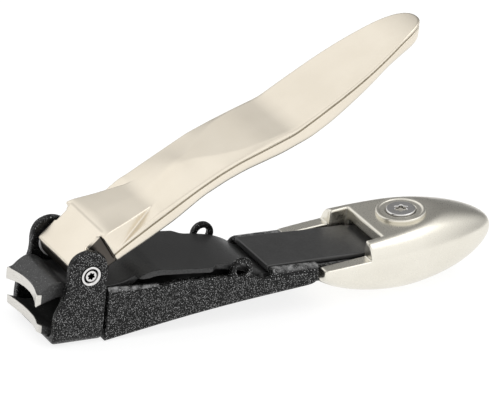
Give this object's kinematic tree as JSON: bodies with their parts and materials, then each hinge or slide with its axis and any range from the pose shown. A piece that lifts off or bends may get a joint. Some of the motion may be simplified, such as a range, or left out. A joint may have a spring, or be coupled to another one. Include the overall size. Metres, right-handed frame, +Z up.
{
  "type": "nail clipper",
  "caption": "Compound-lever nail clipper: sprung black jaws, wrap-around pivot yoke, clippings tray, long satin lever and an egg-shaped metal tail clamped by a screw.",
  "frame": {"origin": "on the resting surface, below the middle of the bounding box", "axes": "+X from the cutting edges to the tail, +Y across, +Z up with the lever raised"},
  "size_m": [0.0873, 0.0182, 0.0482],
  "materials": {
    "satin_nickel": "satin pearl-nickel plating",
    "speckled_coat": "coarse black powder coat with fine pale speckle",
    "smooth_coat": "smooth satin black coat",
    "blade_coat": "satin black coat with bare ground cutting edges",
    "tray_plastic": "black moulding with a speckled grain",
    "chrome_fixings": "polished chrome plating",
    "screw_steel": "satin nickel-plated steel",
    "insert_brass": "plain turned brass",
    "washer_nylon": "natural nylon",
    "spacer_steel": "plain pressed steel"
  },
  "bodies": {
    "tail": {"bolster": "satin_nickel", "bolster_washer": "satin_nickel", "bolster_screw": "screw_steel", "bolster_insert": "insert_brass", "spacer_plate": "spacer_steel", "rear_leaf": "smooth_coat", "catcher_tray": "tray_plastic"},
    "upper": {"upper_jaw": "blade_coat"},
    "lower": {"lower_jaw": "blade_coat", "yoke": "speckled_coat", "pivot_barrel": "chrome_fixings", "pivot_screw": "chrome_fixings", "pivot_washers": "washer_nylon"},
    "lever": {"lever": "satin_nickel"}
  },
  "joints": [
    {"name": "lower_jaw_flex", "type": "hinge", "parent": "tail", "child": "lower", "pos_m": [0.01878, 0, 0.0058], "axis": [0, 1, 0], "range_deg": [0, 1.24]},
    {"name": "upper_jaw_flex", "type": "hinge", "parent": "tail", "child": "upper", "pos_m": [0.01878, 0, 0.0058], "axis": [0, -1, 0], "range_deg": [0, 1.24]},
    {"name": "lever_pivot", "type": "hinge", "parent": "lower", "child": "lever", "pos_m": [-0.03522, 0, 0.0122], "axis": [0, 1, 0], "range_deg": [0, 21], "stiffness_Nm_per_rad": 0.05}
  ],
  "couplings": [
    {"joint": "lower_jaw_flex", "follows": "lever_pivot", "ratio": 0.05919},
    {"joint": "upper_jaw_flex", "follows": "lever_pivot", "ratio": 0.05919}
  ]
}
